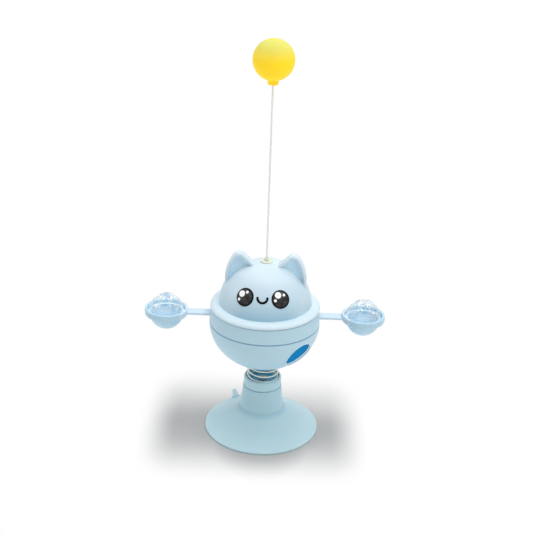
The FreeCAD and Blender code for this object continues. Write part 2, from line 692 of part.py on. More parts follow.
def arm(side):
    start = RING_BORE + FIT
    half = ARM_WIDTH / 2
    barb = half + BARB_WIDTH
    heel = start + BARB_LENGTH
    corners = [(start, -half), (heel, -barb), (heel, -half), (CUP_REACH, -half)]
    corners += [(x, -y) for x, y in reversed(corners)]
    outline = Part.makePolygon([Vector(x, y, ARM_FOOT_Z) for x, y in corners + corners[:1]])
    strap = Part.Face(outline).extrude(Vector(0, 0, ARM_THICKNESS))
    middle = Vector(CUP_REACH, 0, 0)
    arm_body = strap.fuse(moved(holder_outside(), middle)).cut(moved(holder_inside(), middle))
    return around(arm_body, 0 if side > 0 else 180)


def moved(shape, way):
    copy = shape.copy()
    copy.translate(way)
    return copy


def holder_outside():
    bore = CUP_RADIUS + FIT
    foot_z = LIP_Z - HOLDER_HEIGHT
    band_z = LIP_Z - HOLDER_BAND
    foot = bore + HOLDER_WALL
    body = Section(0, foot_z).line(foot, foot_z)
    body.round(HOLDER_RADIUS, band_z, HOLDER_RADIUS, foot_z)
    body.line(HOLDER_RADIUS, LIP_Z - LIP_ROUND)
    body.round(HOLDER_RADIUS - LIP_ROUND, LIP_Z, HOLDER_RADIUS, LIP_Z)
    return body.line(0, LIP_Z).turned()


def holder_inside():
    mouth = HOLDER_RADIUS - LIP_WIDTH
    bore = CUP_RADIUS + FIT
    foot_z = LIP_Z - HOLDER_HEIGHT
    foot = oval_x(bore, bore, CUP_MIDDLE_Z, foot_z)
    hole = Section(0, foot_z - 1).line(foot, foot_z - 1).line(foot, foot_z)
    hole.oval(bore, bore, CUP_MIDDLE_Z, bore, CUP_MIDDLE_Z)
    hole.line(bore, SHELF_Z)
    hole.line(mouth, SHELF_Z)
    hole.line(mouth, LIP_Z - LIP_ROUND)
    hole.round(mouth + LIP_ROUND, LIP_Z, mouth, LIP_Z)
    return hole.line(mouth + LIP_ROUND, LIP_Z + 1).line(0, LIP_Z + 1).turned()


# Cups: small bowls that hang in the holders by their flanges

FLANGE_TOP_Z = SHELF_Z + CUP_FLANGE


def cup(side):
    inside = CUP_RADIUS - CUP_WALL
    flange = HOLDER_RADIUS - LIP_WIDTH - 3 * FIT
    body = Section(0, CUP_MIDDLE_Z - CUP_RADIUS)
    body.oval(CUP_RADIUS, CUP_RADIUS, CUP_MIDDLE_Z, CUP_RADIUS, CUP_MIDDLE_Z)
    body.line(CUP_RADIUS, SHELF_Z)
    body.line(flange, SHELF_Z)
    body.line(flange, FLANGE_TOP_Z)
    body.line(inside, FLANGE_TOP_Z)
    body.line(inside, CUP_MIDDLE_Z)
    body.oval(inside, inside, CUP_MIDDLE_Z, 0, CUP_MIDDLE_Z - inside)
    return moved(body.turned(), Vector(side * CUP_REACH, 0, 0))


# Clear domes: vented half balls whose skirts plug into the cups

def vent(middle, bearing):
    """Round opening through one flank of a dome."""
    rise = math.radians(VENT_RISE)
    way = Vector(math.cos(rise), 0, math.sin(rise))
    return around(Part.makeCylinder(VENT_RADIUS, 2 * DOME_RADIUS, Vector(0, 0, middle), way), bearing)


def dome(side):
    foot = FLANGE_TOP_Z + REST_GAP
    middle = foot + DOME_RISE
    inside = DOME_RADIUS - DOME_WALL
    skirt = CUP_RADIUS - CUP_WALL - TURN_GAP
    bead = DOME_RADIUS + DOME_BEAD
    body = Section(skirt, foot - PLUG_SKIRT)
    body.line(skirt, foot)
    body.line(bead, foot)
    body.line(bead, middle - DOME_BEAD / 2)
    body.line(DOME_RADIUS, middle)
    body.oval(DOME_RADIUS, DOME_RADIUS, middle, 0, middle + DOME_RADIUS)
    body.line(0, middle + inside)
    body.oval(inside, inside, middle, inside, middle)
    body.line(skirt - DOME_WALL, foot)
    body.line(skirt - DOME_WALL, foot - PLUG_SKIRT)
    shell = body.turned()
    for n in range(VENTS):
        shell = shell.cut(vent(middle, (n + 0.5) * 360 / VENTS))
    return moved(shell, Vector(side * CUP_REACH, 0, 0))


# Head: a hollow ball with a ledge, a skirt that drops inside the neck, and two ears

SKIRT_RADIUS = NECK_RADIUS - NECK_WALL - TURN_GAP
LEDGE_RADIUS = BOWL_RADIUS - LEDGE_STEP
GROMMET_HOLE_RADIUS = GROMMET_STEM_RADIUS + FIT


def head_outside():
    foot = LEDGE_RADIUS - LEDGE_UNDERCUT
    brink_z = HEAD_FOOT_Z + LEDGE_BRINK
    ledge_z = HEAD_FOOT_Z + LEDGE_HEIGHT
    flat = HEAD_RADIUS + LEDGE_FLAT
    meet_z = ledge_z + LEDGE_CREASE
    meet = oval_x(HEAD_RADIUS, HEAD_HEIGHT, HEAD_MIDDLE_Z, meet_z)
    body = Section(0, HEAD_FOOT_Z - SKIRT_DEPTH)
    body.line(SKIRT_RADIUS, HEAD_FOOT_Z - SKIRT_DEPTH)
    body.line(SKIRT_RADIUS, HEAD_FOOT_Z)
    body.line(foot - EDGE_ROUND, HEAD_FOOT_Z)
    body.round(foot, HEAD_FOOT_Z + EDGE_ROUND, foot, HEAD_FOOT_Z)
    body.line(LEDGE_RADIUS, brink_z)
    body.oval(LEDGE_RADIUS - flat, ledge_z - brink_z, brink_z, flat, ledge_z, flat)
    body.line(HEAD_RADIUS + LEDGE_CREASE, ledge_z)
    body.round(meet, meet_z, HEAD_RADIUS, ledge_z)
    body.oval(HEAD_RADIUS, HEAD_HEIGHT, HEAD_MIDDLE_Z, 0, CROWN_Z)
    return body.turned()


def head_inside():
    ball = HEAD_RADIUS - HEAD_WALL
    height = HEAD_HEIGHT - HEAD_WALL
    skirt = SKIRT_RADIUS - SKIRT_WALL
    body = Section(0, HEAD_FOOT_Z - SKIRT_DEPTH - 1)
    body.line(skirt, HEAD_FOOT_Z - SKIRT_DEPTH - 1)
    body.line(skirt, HEAD_FOOT_Z)
    body.line(ball, HEAD_MIDDLE_Z - 1)
    body.line(ball, HEAD_MIDDLE_Z)
    body.oval(ball, height, HEAD_MIDDLE_Z, 0, HEAD_MIDDLE_Z + height)
    return body.turned()


def ear_outline(inset):
    """Closed wire of one ear, seen from the front, drawn a given distance inside the edge."""
    tip_z = CROWN_Z + EAR_TIP_RISE
    inner = (EAR_INNER_X, CROWN_Z - EAR_INNER_DROP)
    shoulder = (EAR_TIP_X - EAR_SHOULDER_IN, tip_z - EAR_SHOULDER_DROP)
    brow = (EAR_TIP_X + EAR_BROW_OUT, tip_z - EAR_BROW_DROP)
    outer = (EAR_OUTER_X, CROWN_Z - EAR_OUTER_DROP)
    low = CROWN_Z - EAR_FOOT_DROP
    points = [Vector(x, 0, z) for x, z in (inner, shoulder, brow, outer)]
    feet = [Vector(EAR_OUTER_X - EAR_FOOT_IN, 0, low), Vector(EAR_INNER_X, 0, low)]
    tip = Vector(EAR_TIP_X, 0, tip_z)
    cheek = Vector(EAR_OUTER_X - EAR_CHEEK_IN, 0, tip_z - EAR_CHEEK_DROP)
    edges = [
        Part.LineSegment(points[0], points[1]).toShape(),
        Part.Arc(points[1], tip, points[2]).toShape(),
        Part.Arc(points[2], cheek, points[3]).toShape(),
        Part.LineSegment(points[3], feet[0]).toShape(),
        Part.LineSegment(feet[0], feet[1]).toShape(),
        Part.LineSegment(feet[1], points[0]).toShape(),
    ]
    wire = Part.Wire(edges)
    if inset:
        return wire.makeOffset2D(-inset)
    return wire


def ear():
    body = Part.Face(ear_outline(0)).extrude(Vector(0, EAR_FRONT + EAR_REAR, 0))
    body.translate(Vector(0, -EAR_FRONT, 0))
    body = body.makeFillet(EAR_REAR_ROUND, [e for e in body.Edges if e.BoundBox.YMin > 0])
    front = -EAR_FRONT + 1e-4
    body = body.makeFillet(EAR_FRONT_ROUND, [e for e in body.Edges if e.BoundBox.YMax < front])
    hollow = Part.Face(ear_outline(EAR_RIM)).extrude(Vector(0, EAR_RECESS + 1, 0))
    hollow.translate(Vector(0, -EAR_FRONT - 1, 0))
    floor = -EAR_FRONT + EAR_RECESS - 1e-4
    hollow = hollow.makeFillet(EAR_FLOOR_ROUND, [e for e in hollow.Edges if e.BoundBox.YMin > floor])
    body = body.cut(hollow)
    rim = [face for face in body.Faces if face.BoundBox.YMax < front][0]
    outer = rim.OuterWire
    inner = [edge for wire in rim.Wires if not wire.isSame(outer) for edge in wire.Edges]
    return body.makeFillet(EAR_RECESS_ROUND, inner)


def dome_direction(bearing, rise):
    """Outward direction from the middle of the head; bearing 0 is the middle of the face."""
    along = math.radians(bearing - 90)
    up = math.radians(rise)
    return Vector(math.cos(along) * math.cos(up), math.sin(along) * math.cos(up), math.sin(up))


def dome_layer(low, high):
    """Layer of the dome between two distances from its outer surface."""
    layer = Section(HEAD_RADIUS + low, HEAD_MIDDLE_Z)
    layer.oval(HEAD_RADIUS + low, HEAD_HEIGHT + low, HEAD_MIDDLE_Z, 0, CROWN_Z + low)
    layer.line(0, CROWN_Z + high)
    layer.oval(HEAD_RADIUS + high, HEAD_HEIGHT + high, HEAD_MIDDLE_Z, HEAD_RADIUS + high, HEAD_MIDDLE_Z)
    return layer.turned()


def eye_column(side, radius):
    way = dome_direction(side * EYE_BEARING, EYE_RISE)
    return Part.makeCylinder(radius, HEAD_RADIUS + 5, Vector(0, 0, HEAD_MIDDLE_Z), way)


def mouth_column(stroke):
    """Half-ring with round ends, run forwards out of the head."""
    way = dome_direction(0, MOUTH_RISE)
    out = MOUTH_RADIUS + stroke / 2
    inside = MOUTH_RADIUS - stroke / 2
    ends = [Vector(-out, 0, 0), Vector(0, -out, 0), Vector(out, 0, 0)]
    inner = [Vector(inside, 0, 0), Vector(0, -inside, 0), Vector(-inside, 0, 0)]
    cap = stroke / 2
    outline = [
        Part.Arc(*ends).toShape(),
        Part.Arc(ends[2], Vector(MOUTH_RADIUS, cap, 0), inner[0]).toShape(),
        Part.Arc(*inner).toShape(),
        Part.Arc(inner[2], Vector(-MOUTH_RADIUS, cap, 0), ends[0]).toShape(),
    ]
    body = Part.Face(Part.Wire(outline)).extrude(Vector(0, 0, HEAD_RADIUS + 5))
    up_way = dome_direction(0, MOUTH_RISE + 90)
    body.Placement = FreeCAD.Placement(Vector(0, 0, HEAD_MIDDLE_Z), Rotation(Vector(1, 0, 0), up_way, way))
    return body


def head_turned(shape):
    return around(shape, HEAD_TURN)


def head_shell():
    ears = ear()
    body = head_outside()
    body = body.fuse(ears)
    body = body.fuse(ears.mirror(ORIGIN, Vector(1, 0, 0)))
    body = body.cut(head_inside())
    body = body.cut(rod(GROMMET_HOLE_RADIUS, HEAD_MIDDLE_Z, CROWN_Z + 1))
    sink = dome_layer(-FACE_SINK, 2)
    recesses = [eye_column(-1, EYE_RADIUS + FIT), eye_column(1, EYE_RADIUS + FIT)]
    recesses.append(mouth_column(MOUTH_STROKE + 2 * FIT))
    for recess in recesses:
        body = body.cut(recess.common(sink))
    return head_turned(body)


def face_piece(column):
    return head_turned(column.common(dome_layer(-FACE_SINK, FACE_PROUD)))


# Soft lobed grommet in the crown. A ball-shaped ring turns in its middle and holds the rod.

PIVOT_Z = CROWN_Z - HEAD_WALL / 2
BEND = math.radians(ROD_BEND)
BOTH_BENDS = math.acos(math.cos(BEND) ** 2)
STOP_MIDDLE_Z = PIVOT_Z - ROD_STOP_DROP


def dome_top(offset, x):
    """Height of a surface parallel to the dome at x from the axis."""
    return HEAD_MIDDLE_Z + (HEAD_HEIGHT + offset) * math.sqrt(1 - (x / (HEAD_RADIUS + offset)) ** 2)


def wire_grommet():
    pocket = INSERT_RADIUS + FIT
    low = 0.7 * pocket
    swing = low * math.tan(BOTH_BENDS) + ROD_RADIUS / math.cos(BOTH_BENDS) + 4 * FIT
    foot = PIVOT_Z - GROMMET_FOOT
    foot_hole = GROMMET_FOOT * math.tan(BOTH_BENDS) + ROD_RADIUS / math.cos(BOTH_BENDS) + 2 * FIT
    lip = dome_top(-HEAD_WALL - FIT, GROMMET_LIP_RADIUS)
    floor = CROWN_Z + FIT
    rim = CROWN_Z + GROMMET_RIM
    edge = dome_top(FIT, GROMMET_RADIUS)
    body = Section(max(foot_hole, swing), foot)
    body.line(GROMMET_STEM_RADIUS - EDGE_ROUND, foot)
    body.line(GROMMET_LIP_RADIUS, lip - GROMMET_RIM / 2)
    body.line(GROMMET_LIP_RADIUS, lip)
    body.line(GROMMET_STEM_RADIUS, dome_top(-HEAD_WALL - FIT, GROMMET_STEM_RADIUS))
    body.line(GROMMET_STEM_RADIUS, dome_top(FIT, GROMMET_STEM_RADIUS))
    body.line(GROMMET_RADIUS, edge)
    body.round(GROMMET_RADIUS - GROMMET_RIM, rim, GROMMET_RADIUS, rim)
    body.line(GROMMET_DISH_RADIUS + EDGE_ROUND, rim)
    body.line(GROMMET_DISH_RADIUS, floor)
    body.line(oval_x(pocket, pocket, PIVOT_Z, floor), floor)
    body.oval(pocket, pocket, PIVOT_Z, oval_x(pocket, pocket, PIVOT_Z, PIVOT_Z - low), PIVOT_Z - low)
    grommet = body.turned()
    notch = GROMMET_RADIUS * math.pi / LOBES / 2
    reach = GROMMET_RADIUS + notch - LOBE_DEPTH
    for n in range(LOBES):
        angle = 2 * math.pi * (n + 0.5) / LOBES
        place = (reach * math.cos(angle), reach * math.sin(angle))
        grommet = grommet.cut(rod(notch, CROWN_Z - 2, CROWN_Z + 2, *place))
    return head_turned(grommet)


def grommet_insert():
    """Ring with a ball-shaped outside and a waisted bore for the rod."""
    half = INSERT_RADIUS * 0.6
    waist = ROD_RADIUS / math.cos(BEND) + FIT
    mouth = waist + half * math.tan(BEND) + FIT
    edge = oval_x(INSERT_RADIUS, INSERT_RADIUS, 0, half)
    body = Section(mouth, PIVOT_Z - half)
    body.line(edge, PIVOT_Z - half)
    body.oval(INSERT_RADIUS, INSERT_RADIUS, PIVOT_Z, edge, PIVOT_Z + half)
    body.line(mouth, PIVOT_Z + half)
    body.line(waist, PIVOT_Z)
    return body.turned()


def wire_ferrule():
    """Small concave cone round the rod, just above the grommet."""
    foot = CROWN_Z + FERRULE_GAP
    hole = ROD_RADIUS + FIT
    body = Section(hole, foot)
    body.line(FERRULE_RADIUS, foot)
    body.line(FERRULE_RADIUS, foot + FERRULE_HEIGHT / 8)
    body.round(hole + FERRULE_WALL, foot + FERRULE_HEIGHT, hole + FERRULE_WALL, foot + FERRULE_HEIGHT / 4)
    body.line(hole, foot + FERRULE_HEIGHT)
    return body.turned()


def wire_stop():
    """Bead crimped on the rod's lower end, too large for the grommet."""
    ends = oval_x(ROD_STOP_RADIUS, ROD_STOP_RADIUS, 0, ROD_STOP_RADIUS * 0.9)
    hole = ROD_RADIUS + FIT
    body = Section(hole, STOP_MIDDLE_Z - ROD_STOP_RADIUS * 0.9)
    body.line(ends, STOP_MIDDLE_Z - ROD_STOP_RADIUS * 0.9)
    body.oval(ROD_STOP_RADIUS, ROD_STOP_RADIUS, STOP_MIDDLE_Z, ends, STOP_MIDDLE_Z + ROD_STOP_RADIUS * 0.9)
    body.line(hole, STOP_MIDDLE_Z + ROD_STOP_RADIUS * 0.9)
    return body.turned()


# Rod, and the ball with its sleeve

def teaser_rod():
    top = BALL_MIDDLE_Z - BALL_RADIUS + SLEEVE_STEM_LENGTH - REST_GAP
    return rod(ROD_RADIUS, STOP_MIDDLE_Z - ROD_STOP_RADIUS, top)


def ball_sleeve():
    under = BALL_MIDDLE_Z - math.sqrt(BALL_RADIUS ** 2 - SLEEVE_RADIUS ** 2)
    join = BALL_MIDDLE_Z - math.sqrt(BALL_RADIUS ** 2 - SLEEVE_STEM_RADIUS ** 2)
    foot = BALL_MIDDLE_Z - BALL_RADIUS - SLEEVE_LENGTH + 1
    top = BALL_MIDDLE_Z - BALL_RADIUS + SLEEVE_STEM_LENGTH
    body = Section(ROD_RADIUS + FIT, foot)
    body.line(SLEEVE_RADIUS - 2 * EDGE_ROUND, foot)
    body.round(SLEEVE_RADIUS - EDGE_ROUND, foot + EDGE_ROUND, SLEEVE_RADIUS - EDGE_ROUND, foot)
    body.line(SLEEVE_RADIUS, under)
    body.oval(BALL_RADIUS, BALL_RADIUS, BALL_MIDDLE_Z, SLEEVE_STEM_RADIUS, join)
    body.line(SLEEVE_STEM_RADIUS, top)
    body.line(ROD_RADIUS + FIT, top)
    return body.turned()


def teaser_ball():
    """Thin-walled ball, open at the bottom for the sleeve."""
    hole = SLEEVE_STEM_RADIUS + FIT
    inside = BALL_RADIUS - BALL_WALL
    body = Section(hole, BALL_MIDDLE_Z - math.sqrt(BALL_RADIUS ** 2 - hole ** 2))
    body.oval(BALL_RADIUS, BALL_RADIUS, BALL_MIDDLE_Z, 0, BALL_MIDDLE_Z + BALL_RADIUS)
    body.line(0, BALL_MIDDLE_Z + inside)
    body.oval(inside, inside, BALL_MIDDLE_Z, hole, BALL_MIDDLE_Z - math.sqrt(inside ** 2 - hole ** 2))
    return body.turned()


def build():
    pieces = {
        "suction_cup": suction_cup(),
        "neck_collar": neck_collar(),
        "spring_plug": spring_plug(),
        "plug_screw": plug_screw(),
        "base_spring": base_spring(),
        "spring_cap": spring_cap(),
        "cap_screws": cap_screws(),
        "treat_bowl": treat_bowl(),
        "treat_shutter": treat_shutter(),
        "bearing_neck": bearing_neck(),
        "turntable_ring": turntable_ring(),
        "head_shell": head_shell(),
        "left_eye": face_piece(eye_column(-1, EYE_RADIUS)),
        "right_eye": face_piece(eye_column(1, EYE_RADIUS)),
        "mouth": face_piece(mouth_column(MOUTH_STROKE)),
        "wire_grommet": wire_grommet(),
        "grommet_insert": grommet_insert(),
        "wire_ferrule": wire_ferrule(),
        "wire_stop": wire_stop(),
        "teaser_rod": teaser_rod(),
        "ball_sleeve": ball_sleeve(),
        "teaser_ball": teaser_ball(),
    }
    for name, side in (("left", -1), ("right", 1)):
        pieces[name + "_arm"] = arm(side)
        pieces[name + "_cup"] = cup(side)
        pieces[name + "_dome"] = dome(side)
    return pieces


os.makedirs("parts", exist_ok=True)
for name, shape in build().items():
    shape.exportStep(os.path.join("parts", name + ".step"))
    print(name, "solids", len(shape.Solids), "volume", round(shape.Volume, 1), "valid", shape.isValid())
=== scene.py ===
import math

import bpy
from mathutils import Matrix, Vector


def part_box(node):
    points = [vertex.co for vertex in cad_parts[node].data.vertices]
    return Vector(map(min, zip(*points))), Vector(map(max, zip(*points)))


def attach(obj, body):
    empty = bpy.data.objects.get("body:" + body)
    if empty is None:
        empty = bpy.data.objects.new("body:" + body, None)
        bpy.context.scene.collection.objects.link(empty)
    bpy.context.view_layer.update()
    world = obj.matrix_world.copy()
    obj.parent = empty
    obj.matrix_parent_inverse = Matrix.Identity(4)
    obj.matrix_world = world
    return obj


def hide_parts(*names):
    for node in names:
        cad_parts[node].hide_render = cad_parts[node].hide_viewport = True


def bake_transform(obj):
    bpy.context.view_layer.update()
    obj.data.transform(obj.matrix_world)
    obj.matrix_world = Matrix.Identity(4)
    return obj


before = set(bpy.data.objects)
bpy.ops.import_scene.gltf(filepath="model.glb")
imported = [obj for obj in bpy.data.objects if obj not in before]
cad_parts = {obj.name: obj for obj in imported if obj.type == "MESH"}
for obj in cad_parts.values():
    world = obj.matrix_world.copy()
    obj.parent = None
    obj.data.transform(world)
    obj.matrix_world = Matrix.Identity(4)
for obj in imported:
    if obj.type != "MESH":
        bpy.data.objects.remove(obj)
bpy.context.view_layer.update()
bpy.context.scene.view_settings.view_transform = "Standard"


# Camera. It stands in front of the toy and above it, a little tipped, with a long lens, so that the
# toy fills the picture and its cups hang free at both sides.

CAMERA_PLACE = (0.0, -0.68825, 0.42935)
CAMERA_DOWN = math.radians(23.9)
CAMERA_TIP = math.radians(2.05)
CAMERA_LENS = 75.28

camera_data = bpy.data.cameras.new("camera")
camera_data.lens = CAMERA_LENS
camera_data.dof.use_dof = False
camera = bpy.data.objects.new("camera", camera_data)
bpy.context.scene.collection.objects.link(camera)
camera.matrix_world = (
    Matrix.Translation(CAMERA_PLACE)
    @ Matrix.Rotation(math.pi / 2 - CAMERA_DOWN, 4, "X")
    @ Matrix.Rotation(CAMERA_TIP, 4, "Z")
)
bpy.context.scene.camera = camera


# Studio floor. A sheet of matt white card that runs out of the picture on every side. It is burnt
# out to white away from the toy, and darker round its foot in a soft painted shadow, deepest just
# in front of the cup.

FLOOR_SIZE = 12.0
FLOOR_SHADOW_GREY = 0.46
FLOOR_PALE = 0.92
SHADE_MIDDLE = -0.0055
SHADE_SIDE = (0.053, 0.083)
SHADE_REAR = (-0.001, 0.081)
SHADE_FRONT = (-0.076, -0.016)
SHADE_ROUND = (0.078, 0.108)
CONTACT_SHADOW_MIDDLE = (0.0, -0.010)
CONTACT_SHADOW_REACH = (0.030, 0.064)
CARD_GRAIN = 0.0015
CARD_RELIEF = 0.00002
NOISE_SPAN = (0.3, 0.7)


class Value:
    """The output of a node, with the maths that a finish needs on it."""

    def __init__(self, finish, socket):
        self.finish = finish
        self.socket = socket

    def __add__(self, other):
        return self.finish.maths("ADD", self, other)

    def __sub__(self, other):
        return self.finish.maths("SUBTRACT", self, other)

    def __rsub__(self, other):
        return self.finish.maths("SUBTRACT", other, self)

    def __mul__(self, other):
        return self.finish.maths("MULTIPLY", self, other)

    def __pow__(self, other):
        return self.finish.maths("POWER", self, other)

    __radd__ = __add__
    __rmul__ = __mul__


class Finish:
    """A material on the principled shader, whose plain sockets are set by name."""

    def __init__(self, name, **plain):
        self.material = bpy.data.materials.new(name)
        self.material.use_nodes = True
        self.tree = self.material.node_tree
        self.shader = self.tree.nodes["Principled BSDF"]
        self.surface = Value(self, self.shader.outputs[0])
        for socket, value in plain.items():
            self.shader.inputs[socket.replace("_", " ")].default_value = value

    def node(self, kind, settings=None, sockets=None, output=0):
        made = self.tree.nodes.new(kind)
        for setting, value in (settings or {}).items():
            setattr(made, setting, value)
        for socket, value in (sockets or {}).items():
            if isinstance(value, Value):
                self.tree.links.new(value.socket, made.inputs[socket])
            else:
                made.inputs[socket].default_value = value
        return Value(self, made.outputs[output])

    def maths(self, operation, first, second=0.0):
        return self.node("ShaderNodeMath", {"operation": operation}, {0: first, 1: second})

    def feed(self, socket, value):
        self.tree.links.new(value.socket, self.shader.inputs[socket])

    def show(self, surface):
        """Puts another surface than the plain principled one on the material."""
        self.tree.links.new(surface.socket, self.tree.nodes["Material Output"].inputs[0])

    def mix(self, share, first, second):
        """Goes from the first surface to the second as share goes from 0 to 1."""
        return self.node("ShaderNodeMixShader", None, {0: share, 1: first, 2: second})

    def blend(self, share, first, second):
        """Goes from the first colour to the second as share goes from 0 to 1."""
        sockets = {0: share, 6: first, 7: second}
        return self.node("ShaderNodeMix", {"data_type": "RGBA"}, sockets, output=2)

    def place(self):
        return self.node("ShaderNodeTexCoord", output="Object")

    def place_from(self, spot=(0, 0, 0), turn=(0, 0, 0)):
        """The place as it lies from a spot, along axes turned by these angles."""
        sockets = {"Vector": self.place(), "Location": spot, "Rotation": turn}
        return self.node("ShaderNodeMapping", {"vector_type": "TEXTURE"}, sockets)

    def along(self, axis, place=None):
        return self.node("ShaderNodeSeparateXYZ", None, {0: place or self.place()}, axis)

    def away(self, value, middle):
        """How far value is from middle, on either side."""
        return self.maths("ABSOLUTE", value - middle)

    def reach(self, middle=(0, 0), place=None):
        """Distance from an upright axis, in metres."""
        place = place or self.place()
        across = self.along("X", place) - middle[0]
        deep = self.along("Y", place) - middle[1]
        return (across * across + deep * deep) ** 0.5

    def noise(self, size, detail=2):
        """Cloudy noise from 0 to 1, with blotches of about that size in metres."""
        sockets = {"Vector": self.place(), "Scale": 1 / size, "Detail": detail}
        return self.node("ShaderNodeTexNoise", None, sockets)

    def fade(self, value, low, high, low_to=0.0, high_to=1.0):
        """Runs smoothly from low_to to high_to while value goes from low to high."""
        settings = {"interpolation_type": "SMOOTHSTEP"}
        sockets = {"Value": value, "From Min": low, "From Max": high}
        sockets |= {"To Min": low_to, "To Max": high_to}
        return self.node("ShaderNodeMapRange", settings, sockets)

    def roughen(self, size, low, high, detail=2):
        """Lets the roughness wander between low and high, over blotches of that size."""
        self.feed("Roughness", self.fade(self.noise(size, detail), *NOISE_SPAN, low, high))

    def relief(self, height, depth, normal=None):
        """Bumps of that depth in metres, where height goes from 0 to 1."""
        sockets = {"Height": height, "Strength": 1.0, "Distance": depth}
        if normal:
            sockets["Normal"] = normal
        self.feed("Normal", self.node("ShaderNodeBump", None, sockets))


def grey(level):
    return (level, level, level, 1.0)


def coat(piece, finish):
    piece.data.materials.clear()
    piece.data.materials.append(finish.material)


def select_nothing():
    if bpy.context.object and bpy.context.object.mode != "OBJECT":
        bpy.ops.object.mode_set(mode="OBJECT")
    bpy.ops.object.select_all(action="DESELECT")


select_nothing()
bpy.ops.mesh.primitive_plane_add(size=FLOOR_SIZE)
floor = bpy.context.object
floor.name = "floor"

card = Finish("studio_card", Roughness=0.9)
card_seen = card.node("ShaderNodeLightPath", output="Is Camera Ray")
card_deep = card.fade(card.along("Y"), *SHADE_FRONT) * card.fade(card.along("Y"), *SHADE_REAR, 1, 0)
card_across = card.fade(card.away(card.along("X"), SHADE_MIDDLE), *SHADE_SIDE, 1, 0)
card_round = card.fade(card.reach((SHADE_MIDDLE, 0.0)), *SHADE_ROUND, 1, 0)
# Painted shadow: a soft patch round the toy's foot, and a round one just in front of the cup.
card_contact_shadow = card.fade(card.reach(CONTACT_SHADOW_MIDDLE), *CONTACT_SHADOW_REACH, 1, 0)
card_shade = card.maths("MAXIMUM", card_across * card_deep * card_round, card_contact_shadow)
# Under the painted shadow the camera sees the card grey, while other rays see it pale.
card.feed("Base Color", card.blend(card_seen, grey(FLOOR_PALE), grey(FLOOR_SHADOW_GREY)))
card.relief(card.noise(CARD_GRAIN), CARD_RELIEF)
burnt = card.node("ShaderNodeEmission", None, {0: grey(1.0)})
card.show(card.mix(card_seen * (1.0 - card_shade), card.surface, burnt))
coat(floor, card)


# Soft light. Soft boxes hang over the toy, behind it at both sides, low at the left and high at the
# front right, in a white room whose light comes evenly from every side.

ROOM_LIGHT = 0.44
ROOM_WHITE = 1.0
BOX_SIZE = 0.5
BOX_DISTANCE = 1.2
LIT_MIDDLE = Vector((0.0, 0.0, 0.12))
SOFT_BOXES = {
    "top": (5.4, (0.0, 0.0, 1.0)),
    "rear_left": (1.5, (-0.31, 0.46, 0.83)),
    "rear_right": (1.8, (0.52, 0.43, 0.735)),
    "left": (1.9, (-0.94, 0.0, 0.342)),
    "front_right": (4.5, (0.4545, -0.4545, 0.766)),
}

for where, (watts, way) in SOFT_BOXES.items():
    box_data = bpy.data.lights.new("soft_box_" + where, "AREA")
    box_data.size = BOX_SIZE
    box_data.energy = watts
    box = bpy.data.objects.new("soft_box_" + where, box_data)
    bpy.context.scene.collection.objects.link(box)
    toward = Vector(way).normalized()
    turn = toward.to_track_quat("Z", "Y").to_matrix().to_4x4()
    box.matrix_world = Matrix.Translation(LIT_MIDDLE + toward * BOX_DISTANCE) @ turn

world = bpy.data.worlds.new("room")
bpy.context.scene.world = world
world.use_nodes = True
room = world.node_tree
room.nodes.clear()
rays = room.nodes.new("ShaderNodeLightPath")
room_out = room.nodes.new("ShaderNodeOutputWorld")
white_share = rays.outputs["Is Camera Ray"]
for ray in ("Is Glossy Ray", "Is Transmission Ray"):
    either = room.nodes.new("ShaderNodeMath")
    either.operation = "MAXIMUM"
    room.links.new(white_share, either.inputs[0])
    room.links.new(rays.outputs[ray], either.inputs[1])
    white_share = either.outputs[0]
chosen = room.nodes.new("ShaderNodeMixShader")
room.links.new(white_share, chosen.inputs[0])
for socket, strength in ((1, ROOM_LIGHT), (2, ROOM_WHITE)):
    background = room.nodes.new("ShaderNodeBackground")
    background.inputs["Color"].default_value = grey(1.0)
    background.inputs["Strength"].default_value = strength
    room.links.new(background.outputs[0], chosen.inputs[socket])
room.links.new(chosen.outputs[0], room_out.inputs[0])


# Suction cup. One soft moulding in pale PVC with a faint bloom, whose wide skirt thins out to a lip
# and carries the release tab. Painted light makes the thin lip and the tab paler, and painted shade
# darkens the skirt towards the neck and the crease where the neck begins.

LIP_THIN = (0.0310, 0.0370)
LIP_LIGHT_TINT = 0.6
SKIRT_RISE = (0.008, 0.024)
SKIRT_SHADE_TINT = 0.7
CREASE_HEIGHT = 0.0163
CREASE_HALF = 0.0030
CREASE_SHADE_TINT = 0.6
TAB_MIDDLE = (-0.0202, 0.0342)
TAB_REACH = (0.0036, 0.0046)
TAB_RISE = (0.0030, 0.0038)
BLOOM_SIZE = 0.022
BLOTCH_SIZE = 0.006
BLOTCH_ROUGH = (0.34, 0.5)
PVC_GRAIN = 0.0011
PVC_RELIEF = 0.000012


def paint(red, green, blue):
    """The colour that shows on a screen as these three numbers from 0 to 255."""
    def linear(part):
        part = part / 255
        return part / 12.92 if part <= 0.04045 else ((part + 0.055) / 1.055) ** 2.4
    return (linear(red), linear(green), linear(blue), 1.0)


def dress(finish, *nodes):
    for name in nodes:
        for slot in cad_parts[name].material_slots:
            slot.material = finish.material


pvc = Finish("cup_pvc", Subsurface_Weight=0.15, Subsurface_Scale=0.004, Specular_IOR_Level=0.3)
pvc_colour = pvc.blend(pvc.noise(BLOOM_SIZE, 3), paint(182, 214, 224), paint(190, 220, 229))
# Painted shade: darker higher up the skirt, towards the neck.
pvc_high_shade = pvc.fade(pvc.along("Z"), *SKIRT_RISE)
pvc_colour = pvc.blend(pvc_high_shade * SKIRT_SHADE_TINT, pvc_colour, paint(168, 204, 217))
